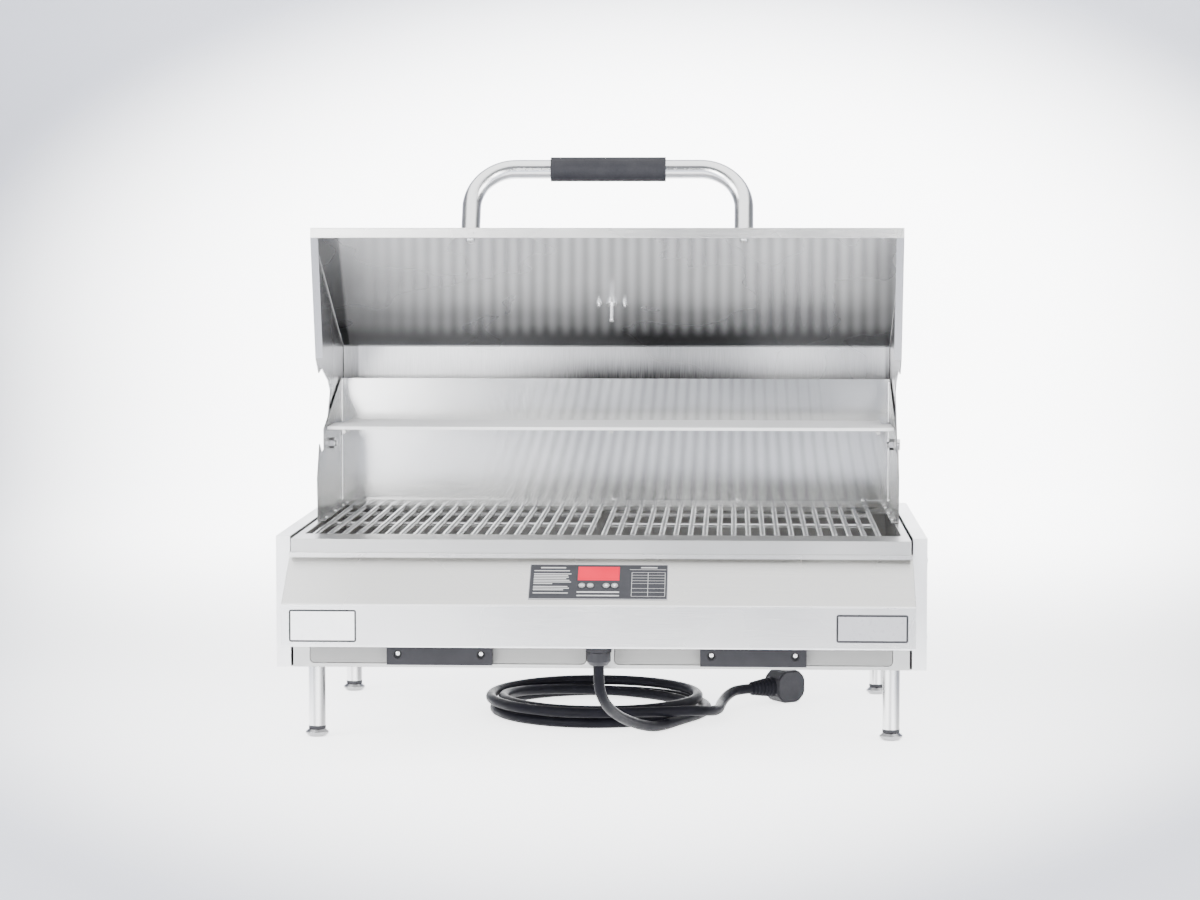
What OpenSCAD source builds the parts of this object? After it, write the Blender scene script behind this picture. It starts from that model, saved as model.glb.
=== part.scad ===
// Electric table grill with a hinged lid, two rod grates, a warming shelf and two grease trays.
// Millimetres, +Z up, front towards -Y, origin on the table under the middle of the grill.
// The lid is drawn open, as the grill stands when it is in use.

/* [Body] */
// Width over the side panels
body_w = 813; // [780:1:860]
// Depth of the side panels
body_d = 480; // [465:1:510]
// Width of one side panel
side_w = 18; // [14:1:24]
// Height of the body's underside above the table
base_z = 101; // [80:1:130]
// Height of the side panels
side_h = 165; // [160:1:180]
// Sheet metal thickness
sheet = 1.5; // [1.2:0.1:2]
// Open slot between the side panels and the pieces between them
slot_gap = 3; // [2:0.5:4]

/* [Firebox] */
// Step from the side panels' top down to the firebox ledge
ledge_drop = 2; // [1:0.5:4]
// Reach of the ledge in front of the side panels
ledge_reach = 16; // [14:1:22]
// Height of the lip at the front of the ledge
lip_h = 17; // [12:1:20]
// Distance from the side panels' front to the firebox wall
firebox_y = 45; // [40:1:55]
// Height of the firebox walls
firebox_h = 114; // [108:1:118]
// Width of the flanges on top of the firebox's side walls
flange_w = 9; // [8:0.5:10]
// Wiring space behind the firebox
rear_space = 40; // [36:1:50]
// Height of the reflector pan's rim
pan_h = 24; // [16:1:30]
// Diameter of the heating element
element_d = 8; // [6:0.5:10]

/* [Grates] */
// Diameter of a grate rod
rod_d = 7; // [6:0.5:8]
// Spacing of the grate rods
rod_pitch = 18.3; // [17:0.1:18.4]
// Least gap from a grate's end rod to the firebox wall
grate_end_gap = 5; // [3:0.5:7]
// Sideways shift of both grates
grate_shift = -8; // [-9:1:4]

/* [Upright back] */
// Height of the rear wall and wings above the ledge
rear_h = 177; // [165:1:180]
// Depth of the warming shelf
shelf_d = 156; // [120:1:160]
// Height of the shelf's underside above the ledge
shelf_rise = 116; // [112:1:130]
// Diameter of the shelf's three rods
shelf_rod_d = 5; // [4:0.5:6]

/* [Control housing] */
// Reach of the control housing in front of the side panels
fascia_reach = 84; // [76:1:95]
// Height of the housing's upright front
fascia_h = 52; // [46:1:56]
// Width of the control overlay
overlay_w = 171; // [150:1:190]
// Height of the control overlay along the slope
overlay_h = 64; // [60:1:70]
// Diameter of a control button
button_d = 8.4; // [7:0.1:9]
// Distance between the buttons of a pair
button_pitch = 10.4; // [10.2:0.1:12]
// Width of the display window
display_w = 51; // [44:1:60]
// Height of the display window
display_h = 25; // [20:1:27]

/* [Trays and legs] */
// Width of the rail beside each grease tray
side_rail_w = 21.5; // [20:0.5:40]
// Height of a grease tray
tray_h = 29; // [24:1:30]
// Depth of a grease tray
tray_d = 420; // [360:1:430]
// Width of a tray handle
tray_handle_w = 132; // [110:1:160]
// Diameter of a leg tube
leg_d = 22; // [18:1:26]
// Diameter of a foot
foot_d = 30; // [26:1:34]

/* [Lid] */
// Height of the hinge bolts above the ledge
pivot_rise = 95; // [92:1:98]
// Diameter of the hinge bolts
pivot_d = 8; // [6:0.5:10]
// Thickness of the lid's front rim
rim_t = 6; // [4:0.5:8]
// Height of the lid's front rim
rim_h = 13; // [10:1:16]
// Diameter of the handle tube
handle_d = 25; // [20:0.5:28]
// Distance between the handle's posts
handle_span = 356; // [300:2:400]
// Height of the handle above the lid
handle_h = 102; // [90:1:115]
// Diameter of the rubber grip
grip_d = 32; // [30:0.5:36]
// Length of the rubber grip
grip_l = 151; // [120:1:180]
// Diameter of the thermometer
gauge_d = 70; // [60:1:80]

/* [Cord] */
// Diameter of the mains cord
cord_d = 13.6; // [12:0.1:14]

/* [Hidden] */
$fn = 48;

bright = [0.86, 0.86, 0.85];
polished = [0.78, 0.78, 0.78];
shade_steel = [0.62, 0.62, 0.63];
charcoal = [0.30, 0.30, 0.33];
black_rubber = [0.16, 0.16, 0.19];

// Gap between pieces that move past each other
run_gap = 0.4;
// Radial gap of the lid on its hinge bolts
pivot_gap = 0.05;
// Gap round a control button
button_gap = 0.3;

half_w = body_w / 2;
side_in = half_w - side_w;
inner_half = side_in - slot_gap;
top_z = base_z + side_h;
ledge_z = top_z - ledge_drop;
firebox_half = inner_half - flange_w;
firebox_z = ledge_z - firebox_h;
rear_y = body_d - rear_space;

// The wings stand on the side flanges, and the lid's side plates pass outside them
wing_inset = 5.5;
lid_gap = 1.5;
wing_in = inner_half - wing_inset;
lid_in = wing_in + sheet + lid_gap;
lid_half = lid_in + sheet;
rear_z = ledge_z + rear_h;

// Trays run on low runners, between a middle rail and two side rails
runner_h = 3.7;
tray_headroom = 2.5;
divider_w = 36;
tray_in = divider_w / 2;
tray_w = inner_half - tray_in - side_rail_w;
tray_z = base_z + sheet + runner_h + run_gap;
tray_mid = tray_in + tray_w / 2;
frame_gap = 0.8;
rail_gap = 1;

// The housing hangs in front of the lower frame, under the ledge's lip
housing_z = tray_z + tray_h + tray_headroom;
housing_half = side_in - 0.5;
recess_h = 6.5;
slope_y = -12;
slope_top_z = ledge_z - lip_h - recess_h;
slope_low_z = housing_z + fascia_h;
slope_run = slope_y + fascia_reach;
slope_rise = slope_top_z - slope_low_z;
slope_deg = atan2(slope_rise, slope_run);
slope_mid = [(slope_y - fascia_reach) / 2, (slope_top_z + slope_low_z) / 2];
overlay_t = 0.8;

// Lid outline in the open pose, given from the hinge axis as [back, up]
pivot_back = 117;
pivot_y = rear_y - pivot_back;
pivot_z = ledge_z + pivot_rise;
lid_front = [-153, 291];
lid_crease = [164, 125];
lid_back = [164, -91];
lid_tip = [124, -97];
lid_dir = lid_crease - lid_front;
lid_deg = atan2(lid_dir[1], lid_dir[0]);
rim_y = pivot_y + lid_front[0];
rim_z = pivot_z + lid_front[1];
handle_inset = 30;
bend_r = 57;
gauge_inset = 215;

leg_x = inner_half - 18.5;
leg_front_y = 81;
leg_rear_y = body_d - 17;
foot_h = 14;

// Thickness of the bare plates on the housing, the foremost pieces of the grill
plate_t = 0.8;
mid_y = (pivot_y + lid_back[0] - fascia_reach - plate_t) / 2;

// Small helpers
module in_frame() translate([0, -mid_y, 0]) children();
module on_side(side) {
    if (side > 0) children();
    else mirror([1, 0, 0]) children();
}
module block(low, high) translate(low) cube(high - low);
module profile(x0, x1) translate([x0, 0, 0]) rotate([90, 0, 90]) linear_extrude(x1 - x0) children();
module rounded(w, h, r) {
    translate([r, 0]) square([w - 2 * r, h]);
    translate([0, r]) square([w, h - 2 * r]);
    for (x = [r, w - r], y = [r, h - r]) translate([x, y]) circle(r);
}
// A cylinder along X, Y or Z from a point
module rod_x(p, d, l) translate(p) rotate([0, 90, 0]) cylinder(d = d, h = l);
module rod_y(p, d, l) translate(p) rotate([-90, 0, 0]) cylinder(d = d, h = l);
module on_slope() translate([0, slope_mid[0], slope_mid[1]]) rotate([slope_deg, 0, 0]) children();
module on_lid() translate([0, rim_y, rim_z]) rotate([lid_deg, 0, 0]) children();

// Bent sheet: the outer line of a profile, thickened to the right of its direction
function unit(v) = v / norm(v);
function right_of(v) = [v[1], -v[0]];
function side_at(p, i) = right_of(unit(p[i + 1] - p[i]));
function mitre(a, b) = (a + b) / (1 + a * b);
function inner_point(p, i, t) =
    i == 0 ? p[0] + t * side_at(p, 0)
    : i == len(p) - 1 ? p[i] + t * side_at(p, i - 1)
    : p[i] + t * mitre(side_at(p, i - 1), side_at(p, i));
function sheet_outline(p, t) =
    concat(p, [for (i = [len(p) - 1 : -1 : 0]) inner_point(p, i, t)]);
module bent_sheet(p, x0, x1) profile(x0, x1) polygon(sheet_outline(p, sheet));

// Side panel: a sheet channel, open towards the firebox
module side_panel(side) color(bright) in_frame() on_side(side) difference() {
    block([side_in, 0, base_z], [half_w, body_d, top_z]);
    block([side_in - 1, sheet, base_z + sheet], [half_w - sheet, body_d - sheet, top_z - sheet]);
}

// Base pan with tray runners and the three rails that carry the firebox
module rail(x0, x1) difference() {
    block([x0, 2 * sheet, base_z], [x1, rear_y, firebox_z]);
    block([x0 + sheet, sheet, base_z - 1], [x1 - sheet, rear_y + 1, firebox_z - sheet]);
}
runner_w = 10;
module base_pan() color(shade_steel) in_frame() {
    block([-side_in, sheet, base_z], [side_in, body_d - sheet, base_z + sheet]);
    rail(-tray_in + rail_gap, tray_in - rail_gap);
    for (side = [-1, 1]) on_side(side) {
        rail(tray_in + tray_w + rail_gap, inner_half);
        for (x = [tray_in + runner_w, tray_in + tray_w - 2 * runner_w])
            block([x, 2 * sheet, base_z], [x + runner_w, rear_y, base_z + sheet + runner_h]);
    }
}

// Lower front frame with one rounded opening for each tray
frame_r = 6;
module tray_frame() color(bright) in_frame() difference() {
    block([-inner_half, 0, base_z], [inner_half, sheet, firebox_z]);
    for (side = [-1, 1])
        translate([side * tray_mid - tray_w / 2 - frame_gap, sheet + 1, tray_z - frame_gap])
            rotate([90, 0, 0]) linear_extrude(sheet + 2)
                rounded(tray_w + 2 * frame_gap, tray_h + 2 * frame_gap, frame_r);
}

// Firebox: four walls, a rest for the grates, a foot flange for the reflector, and the front ledge
rest_w = 14;
rear_rest_w = 24;
foot_flange = 14;
probe_in = 126.5;
probe_x = probe_in - firebox_half;
probe_drop = 30;
probe_z = ledge_z - probe_drop;
probe_d = 5;
element_drop = 40;
element_z = ledge_z - element_drop;
element_ends_in = [76.5, 16.5];
element_ends = [for (e = element_ends_in) firebox_half - e];
module firebox() color(bright) in_frame() {
    difference() {
        union() {
            difference() {
                block([-firebox_half - sheet, firebox_y, firebox_z],
                      [firebox_half + sheet, rear_y + sheet, ledge_z]);
                block([-firebox_half, firebox_y + sheet, firebox_z - 1],
                      [firebox_half, rear_y, ledge_z + 1]);
            }
            for (y = [[firebox_y, rest_w], [rear_y - rear_rest_w, rear_rest_w]])
                block([-firebox_half, y[0], ledge_z - rod_d - sheet],
                      [firebox_half, y[0] + y[1], ledge_z - rod_d]);
            for (x = [-firebox_half, firebox_half - foot_flange])
                block([x, firebox_y + sheet, firebox_z], [x + foot_flange, rear_y, firebox_z + sheet]);
            for (side = [-1, 1]) on_side(side)
                block([firebox_half, firebox_y, ledge_z - sheet], [inner_half, rear_y, ledge_z]);
            bent_sheet([[-ledge_reach + 8, ledge_z - lip_h], [-ledge_reach, ledge_z - lip_h],
                [-ledge_reach, ledge_z], [firebox_y, ledge_z]], -inner_half, inner_half);
        }
        rod_y([probe_x, firebox_y - 1, probe_z], probe_d, sheet + 2);
        for (x = element_ends) rod_y([x, firebox_y - 1, element_z], element_d, sheet + 2);
    }
}

// Cover behind the wiring space, low enough for the open lid
module rear_cover() color(bright) in_frame() {
    block([-side_in, body_d - sheet, base_z], [side_in, body_d, ledge_z - 14]);
    block([-side_in, rear_y + sheet, ledge_z - 14 - sheet], [side_in, body_d, ledge_z - 14]);
}

// Upright rear wall with its top hem and the screwed ledge along its foot
hem = 6;
foot_ledge_h = 9;
foot_ledge_d = 10;
module rear_wall() color(polished) in_frame() {
    bent_sheet([[rear_y, ledge_z], [rear_y, rear_z], [rear_y + hem, rear_z],
        [rear_y + hem, rear_z - hem]], -wing_in, wing_in);
    bent_sheet([[rear_y - foot_ledge_d, ledge_z], [rear_y - foot_ledge_d, ledge_z + foot_ledge_h],
        [rear_y, ledge_z + foot_ledge_h]], -wing_in, wing_in);
}

// Wing: side upright with a notched front edge, a foot strip and the hinge hole
wing_foot = 8;
wing_foot_l = 235;
wing_outline = [
    [-240, 0], [-244, 58], [-221, 101], [-200, 88], [-179, 91], [-179, 118],
    [sheet, rear_h], [sheet, 0]
];
module wing(side) color(polished) in_frame() on_side(side) {
    difference() {
        profile(wing_in, wing_in + sheet) translate([rear_y, ledge_z])
            polygon(wing_outline);
        rod_x([wing_in - 1, pivot_y, pivot_z], pivot_d, sheet + 2);
    }
    block([wing_in - wing_foot, rear_y - wing_foot_l, ledge_z],
          [wing_in, rear_y - foot_ledge_d, ledge_z + sheet]);
}

// Three rods from the rear wall that carry the warming shelf
shelf_z = ledge_z + shelf_rise;
shelf_rod_x = [-wing_in + 24, 2, wing_in - 22];
shelf_rod_z = shelf_z - 0.3 - shelf_rod_d / 2;
shelf_y = rear_y - 3 - shelf_d;
module shelf_rods() color(bright) in_frame()
    for (x = shelf_rod_x) rod_y([x, shelf_y - 2, shelf_rod_z], shelf_rod_d, rear_y - shelf_y + 2);

// Warming shelf: a shallow sheet pan with folded edges and notched rear corners
shelf_half = wing_in - 1.4;
shelf_lip = 4;
notch_w = 12;
notch_d = 75;
module warming_shelf() color(bright) in_frame() difference() {
    block([-shelf_half, shelf_y, shelf_z], [shelf_half, shelf_y + shelf_d, shelf_z + shelf_lip]);
    block([-shelf_half - 1, shelf_y + sheet, shelf_z - 1],
          [shelf_half + 1, shelf_y + shelf_d - sheet, shelf_z + shelf_lip - sheet]);
    for (side = [-1, 1]) on_side(side)
        block([shelf_half - notch_w, shelf_y + shelf_d - notch_d, shelf_z - 1],
              [shelf_half + 1, shelf_y + shelf_d + 1, shelf_z + shelf_lip + 1]);
}

// Reflector pan on the firebox's foot flanges, short of the rear wall
pan_y = firebox_y + sheet + 3;
pan_short = 40;
pan_d = rear_y - pan_y - pan_short;
pan_half = firebox_half - 1;
pan_z = firebox_z + sheet;
module reflector_pan() color(polished) in_frame() difference() {
    block([-pan_half, pan_y, pan_z], [pan_half, pan_y + pan_d, pan_z + pan_h]);
    block([-pan_half + sheet, pan_y + sheet, pan_z + sheet],
          [pan_half - sheet, pan_y + pan_d - sheet, pan_z + pan_h + 1]);
}

// Heating element: one bent rod in long passes, its cold ends through the firebox's front wall
passes = 6;
pass_in = 30;
pass_pitch = (pan_d - 2 * pass_in) / (passes - 1);
pass_end = 70;
pass_half = firebox_half - pass_end;
pass_y = pan_y + pass_in;
end_y = 15;
module element_bend(y, side) translate([side * pass_half, y + pass_pitch / 2, element_z])
    rotate([0, 0, side > 0 ? -90 : 90]) rotate_extrude(angle = 180)
        translate([pass_pitch / 2, 0]) circle(d = element_d);
module heating_element() color(shade_steel) in_frame() {
    for (i = [0 : passes - 1])
        rod_x([-pass_half, pass_y + i * pass_pitch, element_z], element_d,
              (i == 0 ? element_ends[0] : pass_half) + pass_half);
    for (i = [0 : passes - 2]) element_bend(pass_y + i * pass_pitch, i % 2 == 0 ? -1 : 1);
    rod_y([element_ends[0], end_y, element_z], element_d, pass_y - end_y);
    translate([element_ends[0], pass_y, element_z]) sphere(d = element_d);
    rod_x([pass_half, pass_y + (passes - 1) * pass_pitch, element_z], element_d,
          element_ends[1] - pass_half);
    translate([element_ends[1], pass_y + (passes - 1) * pass_pitch, element_z]) sphere(d = element_d);
    rod_y([element_ends[1], end_y, element_z], element_d, pass_y + (passes - 1) * pass_pitch - end_y);
}

// Upright strips on the reflector that carry the element
stand_x = [-240, -80, 80, 240];
stand_t = 2;
stand_inset = 10;
seat_gap = 0.1;
module element_stands() color(shade_steel) in_frame() for (x = stand_x)
    block([x, pan_y + stand_inset, pan_z + sheet],
          [x + stand_t, pan_y + pan_d - stand_inset, element_z - element_d / 2 - seat_gap]);

// Probe of the thermostat, through the firebox's front wall
probe_out = 25;
probe_l = 120;
module temperature_probe() color(bright) in_frame()
    rod_y([probe_x, firebox_y - probe_out, probe_z], probe_d, probe_l);

// Control housing: sloped and upright front, closed underside and two end caps
gland_y = -45;
gland_hole = 20;
window_margin = 3;
display_v = 15;
button_v = -8;
button_u = 15;
button_places = [-button_u - button_pitch / 2, -button_u + button_pitch / 2,
                 button_u - button_pitch / 2, button_u + button_pitch / 2];
housing_line = [[0, housing_z], [-fascia_reach, housing_z], [-fascia_reach, slope_low_z],
                [slope_y, slope_top_z], [slope_y, slope_top_z + recess_h]];
module control_housing() color(bright) in_frame() difference() {
    union() {
        bent_sheet(housing_line, -housing_half, housing_half);
        for (side = [-1, 1]) on_side(side)
            profile(housing_half - sheet, housing_half) polygon(concat(housing_line, [[0, slope_top_z]]));
    }
    translate([0, gland_y, housing_z - 1]) cylinder(d = gland_hole, h = sheet + 2);
    on_slope() translate([0, display_v, 0])
        cube([display_w - 2 * window_margin, display_h - 2 * window_margin, 10], center = true);
    on_slope() for (u = button_places)
        translate([u, button_v, -5]) cylinder(d = button_d + 2 * button_gap, h = 10);
}

// Overlay on the slope, cut out for the display and the buttons
module control_overlay() color(charcoal) in_frame() on_slope() difference() {
    translate([0, 0, overlay_t / 2]) cube([overlay_w, overlay_h, overlay_t], center = true);
    translate([0, display_v, 0]) cube([display_w, display_h, 4], center = true);
    for (u = button_places) translate([u, button_v, -1]) cylinder(d = button_d + 2 * button_gap, h = 4);
}
module display_window() color([0.90, 0.28, 0.33]) in_frame() on_slope()
    translate([0, display_v, overlay_t / 2]) cube([display_w, display_h, overlay_t], center = true);

// Button: cap through the slope, a collar behind the sheet and a stem towards its switch
button_rise = 1.4;
collar_t = 1;
stem_d = 4;
board_z = -14;
board_t = 1.6;
button_travel = 1;
switch_h = 4;
module button(u) color(bright) in_frame() on_slope() translate([u, button_v, 0]) {
    translate([0, 0, -sheet - 0.1]) cylinder(d = button_d, h = overlay_t + button_rise + sheet + 0.1);
    translate([0, 0, -sheet - 0.1 - collar_t]) cylinder(d = button_d + 1.4, h = collar_t);
    translate([0, 0, board_z + switch_h + button_travel + 0.3])
        cylinder(d = stem_d, h = -sheet - board_z - switch_h - button_travel - 0.4);
}

// Control board on four posts behind the slope, with its switches and display tube
module control_board() color([0.13, 0.36, 0.22]) in_frame() on_slope() {
    translate([0, 0, board_z - board_t / 2])
        cube([overlay_w - 20, overlay_h - 8, board_t], center = true);
    for (x = [-1, 1], y = [-1, 1])
        translate([x * (overlay_w / 2 - 18), y * (overlay_h / 2 - 10), board_z])
            cylinder(d = 6, h = -sheet - board_z);
    for (u = button_places) translate([u, button_v, board_z]) cylinder(d = 6, h = switch_h);
    translate([0, display_v, board_z + 4]) cube([display_w - 8, display_h - 8, 8], center = true);
}
// Relay on the housing's floor
relay_at = [140, -70];
relay_size = [65, 40, 30];
module relay_block() color(charcoal) in_frame()
    translate([relay_at[0], relay_at[1], housing_z + sheet]) cube(relay_size);

// Bare plates on the housing's upright front
plate_size_left = [84, 41];
plate_size_right = [88, 35];
plate_inset = 9;
module plate(x, size) translate([x, -fascia_reach, housing_z + (fascia_h - size[1]) / 2])
    rotate([90, 0, 0]) linear_extrude(plate_t) rounded(size[0], size[1], 3);
module plate_left() color("white") in_frame() plate(-housing_half + plate_inset, plate_size_left);
module plate_right() color([0.75, 0.75, 0.78]) in_frame()
    plate(housing_half - plate_inset - plate_size_right[0], plate_size_right);

// Cable gland under the housing: a threaded body with its lock nut, and a domed nut round the cord
gland_h = 26;
gland_d = 32;
module cable_gland() color(black_rubber) in_frame() translate([0, gland_y, housing_z]) difference() {
    union() {
        translate([0, 0, -10]) cylinder(d = gland_d, h = 10, $fn = 6);
        translate([0, 0, -10]) cylinder(d = gland_hole, h = 22);
        translate([0, 0, sheet]) cylinder(d = gland_hole + 8, h = 5);
    }
    translate([0, 0, -11]) cylinder(d = cord_d, h = 30);
}
module gland_nut() color(black_rubber) in_frame() translate([0, gland_y, housing_z - gland_h]) difference() {
    union() {
        translate([0, 0, 5]) cylinder(d = gland_d - 2, h = gland_h - 15);
        cylinder(d1 = gland_d - 10, d2 = gland_d - 2, h = 5);
    }
    translate([0, 0, -1]) cylinder(d = cord_d, h = gland_h);
}

// Legs, their dark collars and domed feet
collar_h = 4;
foot_edge = 4;
foot_rim = 2;
module at_legs() for (side = [-1, 1], y = [leg_front_y, leg_rear_y])
    translate([side * leg_x, y, 0]) children();
module leg(side, y) color(bright) in_frame() translate([side * leg_x, y, foot_h]) difference() {
    cylinder(d = leg_d, h = base_z - foot_h);
    translate([0, 0, -1]) cylinder(d = leg_d - 2 * sheet, h = base_z - foot_h - 4);
}
module leg_collars() color(black_rubber) in_frame() at_legs()
    translate([0, 0, foot_h - collar_h]) cylinder(d = leg_d, h = collar_h);
module feet() color(bright) in_frame() at_legs() {
    cylinder(d1 = foot_d - 2 * foot_edge, d2 = foot_d, h = foot_edge);
    translate([0, 0, foot_edge]) cylinder(d = foot_d, h = foot_rim);
    translate([0, 0, foot_edge + foot_rim])
        cylinder(d1 = foot_d, d2 = leg_d - 2, h = foot_h - collar_h - foot_edge - foot_rim);
}

// Screw heads: side panels, rear foot ledge and wing foot strips
head_d = 7;
head_h = 2;
small_head_d = 5;
small_head_h = 3;
ledge_screw_pitch = 173;
wing_screw_back = [200, 110, 30];
side_screw_in = 25;
side_screw_up = 38;
side_screw_down = 30;
side_screw_z = [base_z + side_screw_up, top_z - side_screw_down];
module panel_screws() color(polished) in_frame() {
    for (side = [-1, 1]) on_side(side) {
        for (y = [side_screw_in, body_d - side_screw_in], z = side_screw_z)
            rod_x([half_w, y, z], head_d, head_h);
        for (y = wing_screw_back) translate([wing_in - wing_foot / 2, rear_y - y, ledge_z + sheet])
            cylinder(d = small_head_d, h = small_head_h);
    }
    for (i = [-2 : 2])
        translate([i * ledge_screw_pitch, rear_y - foot_ledge_d / 2, ledge_z + foot_ledge_h])
            cylinder(d = small_head_d, h = small_head_h);
}

// Hinge bolts: head outside the lid's plate, shank through plate and wing, nut inside
bolt_head_d = 15;
bolt_head_t = 4;
bolt_out = 3;
nut_t = 6;
module hinge_bolts() color(polished) in_frame() for (side = [-1, 1]) on_side(side) {
    rod_x([wing_in - nut_t - bolt_out, pivot_y, pivot_z], pivot_d,
          lid_half + run_gap - wing_in + nut_t + bolt_out);
    rod_x([lid_half + run_gap, pivot_y, pivot_z], bolt_head_d, bolt_head_t);
    translate([wing_in - nut_t, pivot_y, pivot_z]) rotate([0, 90, 0])
        cylinder(d = bolt_head_d, h = nut_t, $fn = 6);
}

// Grates: rods front to back, welded on three cross rods
grate_mid_gap = 6;
grate_y = firebox_y + sheet + 1.5;
grate_d = rear_y - foot_ledge_d - 2 - grate_y;
grate_room = firebox_half - abs(grate_shift) - grate_mid_gap - rod_d - grate_end_gap;
rod_count = floor(grate_room / rod_pitch) + 1;
grate_half = (rod_count - 1) * rod_pitch / 2;
cross_in = 40;
cross_over = 2;
// Rise of the rods over the ledge, sink of the cross rods into them, and place of the middle one
grate_proud = 0.3;
cross_sink = 1.5;
cross_mid = 0.55;
module grate(side) color(bright) in_frame()
    translate([grate_shift + side * (grate_half + rod_d / 2 + grate_mid_gap), 0, 0]) {
        for (i = [0 : rod_count - 1])
            rod_y([i * rod_pitch - grate_half, grate_y, ledge_z + grate_proud - rod_d / 2], rod_d, grate_d);
        for (y = [grate_y + cross_in, grate_y + grate_d * cross_mid, grate_y + grate_d - cross_in])
            rod_x([-grate_half - cross_over, y, ledge_z - rod_d - cross_sink], rod_d - 1,
                  2 * (grate_half + cross_over));
    }

// Grease trays: open sheet boxes, each with a screwed plastic handle
handle_t = 18;
handle_top = 3;
handle_hole = 104;
// The left handle sits a little to the left of its tray's middle
left_handle_shift = -9;
function handle_x(side) = side * tray_mid + (side < 0 ? left_handle_shift : 0);
tray_r = frame_r - frame_gap;
module tray(side) color(shade_steel) in_frame()
    translate([side * tray_mid - tray_w / 2, 0, tray_z]) difference() {
        translate([0, tray_d, 0]) rotate([90, 0, 0]) linear_extrude(tray_d)
            rounded(tray_w, tray_h, tray_r);
        translate([sheet, sheet, sheet])
            cube([tray_w - 2 * sheet, tray_d - 2 * sheet, tray_h]);
    }
module tray_handle(side) color(charcoal) in_frame()
    translate([handle_x(side) - tray_handle_w / 2, -handle_t, tray_z]) difference() {
        cube([tray_handle_w, handle_t, tray_h - handle_top]);
        for (s = [-1, 1])
            rod_y([tray_handle_w / 2 + s * handle_hole / 2, -1, (tray_h - handle_top) / 2], 10, 5);
        translate([8, 7, 8]) cube([tray_handle_w - 16, handle_t, tray_h]);
    }
module tray_screws(side) color(polished) in_frame() for (s = [-1, 1])
    rod_y([handle_x(side) + s * handle_hole / 2, 2 - handle_t, tray_z + (tray_h - handle_top) / 2], 6, 2);

// Lid: one bent sheet for front, top and rear edge, between two side plates
function lid_at(p) = [pivot_y + p[0], pivot_z + p[1]];
lid_line = [for (p = [lid_front, lid_crease, lid_back, lid_tip]) lid_at(p)];
stem_hole = 8;
stud_hole = 4;
stud_span = 35;
rim_cut = 20;
rim_cut_low = 60;
module rim_block() block([-lid_half, rim_y, rim_z - rim_h], [lid_half, rim_y + rim_t, rim_z]);
module lid_shell() color(polished) in_frame() difference() {
    bent_sheet(lid_line, -lid_in, lid_in);
    block([-lid_half - 1, rim_y - rim_cut, rim_z - rim_cut_low],
          [lid_half + 1, rim_y + rim_t, rim_z + rim_cut]);
    on_lid() translate([0, gauge_inset, -10]) {
        cylinder(d = stem_hole, h = 20);
        for (s = [-1, 1]) translate([s * stud_span / 2, 0, 0]) cylinder(d = stud_hole, h = 20);
    }
}
module lid_rim() color(bright) in_frame() rim_block();

// Side plate: follows the wing's edge, reaches down to a round ear on the hinge bolt
ear_r = 17;
strip_w = 10;
strip_top = [-153, 278];
strip_low = [-111, 119];
plate_edge = [[12, -9], [-12, 12], [8, 43], [29, 69], [7, 84], [-57, 104], [-86, 99], strip_low, strip_top];
module lid_side(side) color(polished) in_frame() on_side(side) difference() {
    union() {
        profile(lid_in, lid_half) {
            polygon(concat(lid_line, [for (p = plate_edge) lid_at(p)]));
            translate([pivot_y, pivot_z]) circle(ear_r);
        }
        bent_sheet([lid_at(strip_low), lid_at(strip_top)], lid_half - strip_w, lid_in);
    }
    rim_block();
    rod_x([lid_in - 1, pivot_y, pivot_z], pivot_d + 2 * pivot_gap, sheet + 2);
}

// Handle: bent tube standing on the lid's front, with a rubber grip in its middle
post_x = handle_span / 2;
handle_wall = 2;
module handle_run(d, low) {
    rod_x([-post_x + bend_r, 0, handle_h], d, handle_span - 2 * bend_r);
    for (side = [-1, 1]) on_side(side) {
        translate([post_x - bend_r, 0, handle_h - bend_r]) rotate([90, 0, 0])
            rotate_extrude(angle = 90) translate([bend_r, 0]) circle(d = d);
        translate([post_x, 0, low]) cylinder(d = d, h = handle_h - bend_r - low);
    }
}
module handle_tube() color(polished) in_frame() on_lid() translate([0, handle_inset, 0]) difference() {
    handle_run(handle_d, 0);
    handle_run(handle_d - 2 * handle_wall, -1);
}
module handle_grip() color(charcoal) in_frame() on_lid() translate([-grip_l / 2, handle_inset, handle_h])
    rotate([0, 90, 0]) difference() {
        cylinder(d = grip_d, h = grip_l);
        translate([0, 0, -1]) cylinder(d = handle_d, h = grip_l + 2);
    }
handle_screw_d = 12;
handle_screw_h = 3;
module handle_screws() color(polished) in_frame() on_lid() for (s = [-1, 1])
    translate([s * post_x, handle_inset, -sheet - handle_screw_h])
        cylinder(d = handle_screw_d, h = handle_screw_h);

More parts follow.
